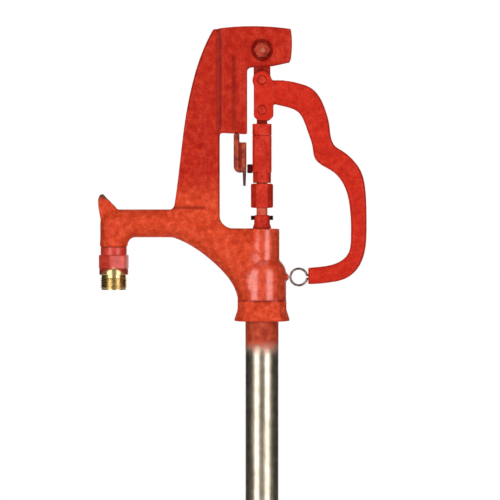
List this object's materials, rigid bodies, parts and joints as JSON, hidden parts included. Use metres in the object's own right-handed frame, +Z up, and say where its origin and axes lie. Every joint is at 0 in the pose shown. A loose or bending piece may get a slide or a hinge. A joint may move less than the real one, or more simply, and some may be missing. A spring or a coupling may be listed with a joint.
{
  "type": "frost-proof yard hydrant",
  "caption": "Garden standpipe on a galvanised pipe, with a cast head, hose spout, lever and toggle link, and a buried foot valve with a drain.",
  "frame": {"origin": "centre of the foot valve's inlet face, on the pipe's axis", "axes": "+Z up the casing pipe, the spout points to -X, the lever hangs on the +X side, -Y is the front"},
  "size_m": [0.2711, 0.0528, 1.092],
  "materials": {
    "red_enamel": "glossy red enamel on rough cast iron",
    "brass": "machined yellow brass",
    "galvanised_steel": "galvanised and drawn",
    "zinc_plated_steel": "zinc plated",
    "black_oxide_steel": "black oxide, oiled",
    "rubber": "moulded rubber",
    "packing": "graphited packing",
    "plated_wire": "plated wire"
  },
  "bodies": {
    "head": {"head_casting": "red_enamel", "hose_nozzle": "brass", "casing_pipe": "galvanised_steel", "valve_body": "brass", "valve_seat": "brass", "packing_nut": "red_enamel", "gland_pins": "black_oxide_steel", "packing_gland": "brass", "packing_rings": "packing", "fulcrum_bolt": "red_enamel", "fulcrum_washer": "red_enamel", "fulcrum_nut": "red_enamel", "lock_hook": "red_enamel"},
    "link": {"fulcrum_link": "red_enamel"},
    "lever": {"lever": "red_enamel", "link_pin": "red_enamel", "rod_pin": "red_enamel", "lock_ring": "plated_wire"},
    "rod": {"rod_eye": "red_enamel", "rod_coupling": "red_enamel", "set_screw": "black_oxide_steel", "coupling_lock_nut": "red_enamel", "operating_rod": "galvanised_steel", "rod_guide": "brass", "plunger_body": "brass", "plunger_o_rings": "rubber", "plunger_seal": "rubber", "seal_washer": "zinc_plated_steel", "seal_screw": "zinc_plated_steel"}
  },
  "joints": [
    {"name": "link_swing", "type": "hinge", "parent": "head", "child": "link", "pos_m": [0, 0, 1.068], "axis": [0, 1, 0], "range_deg": [0, 36]},
    {"name": "lever_swing", "type": "hinge", "parent": "link", "child": "lever", "pos_m": [0, 0, 1.038], "axis": [0, 1, 0], "range_deg": [-72, 0]},
    {"name": "rod_swing", "type": "hinge", "parent": "lever", "child": "rod", "pos_m": [0, 0, 1.008], "axis": [0, 1, 0], "range_deg": [0, 36]}
  ],
  "couplings": [
    {"joint": "lever_swing", "follows": "link_swing", "ratio": -2},
    {"joint": "rod_swing", "follows": "link_swing", "ratio": 1}
  ]
}
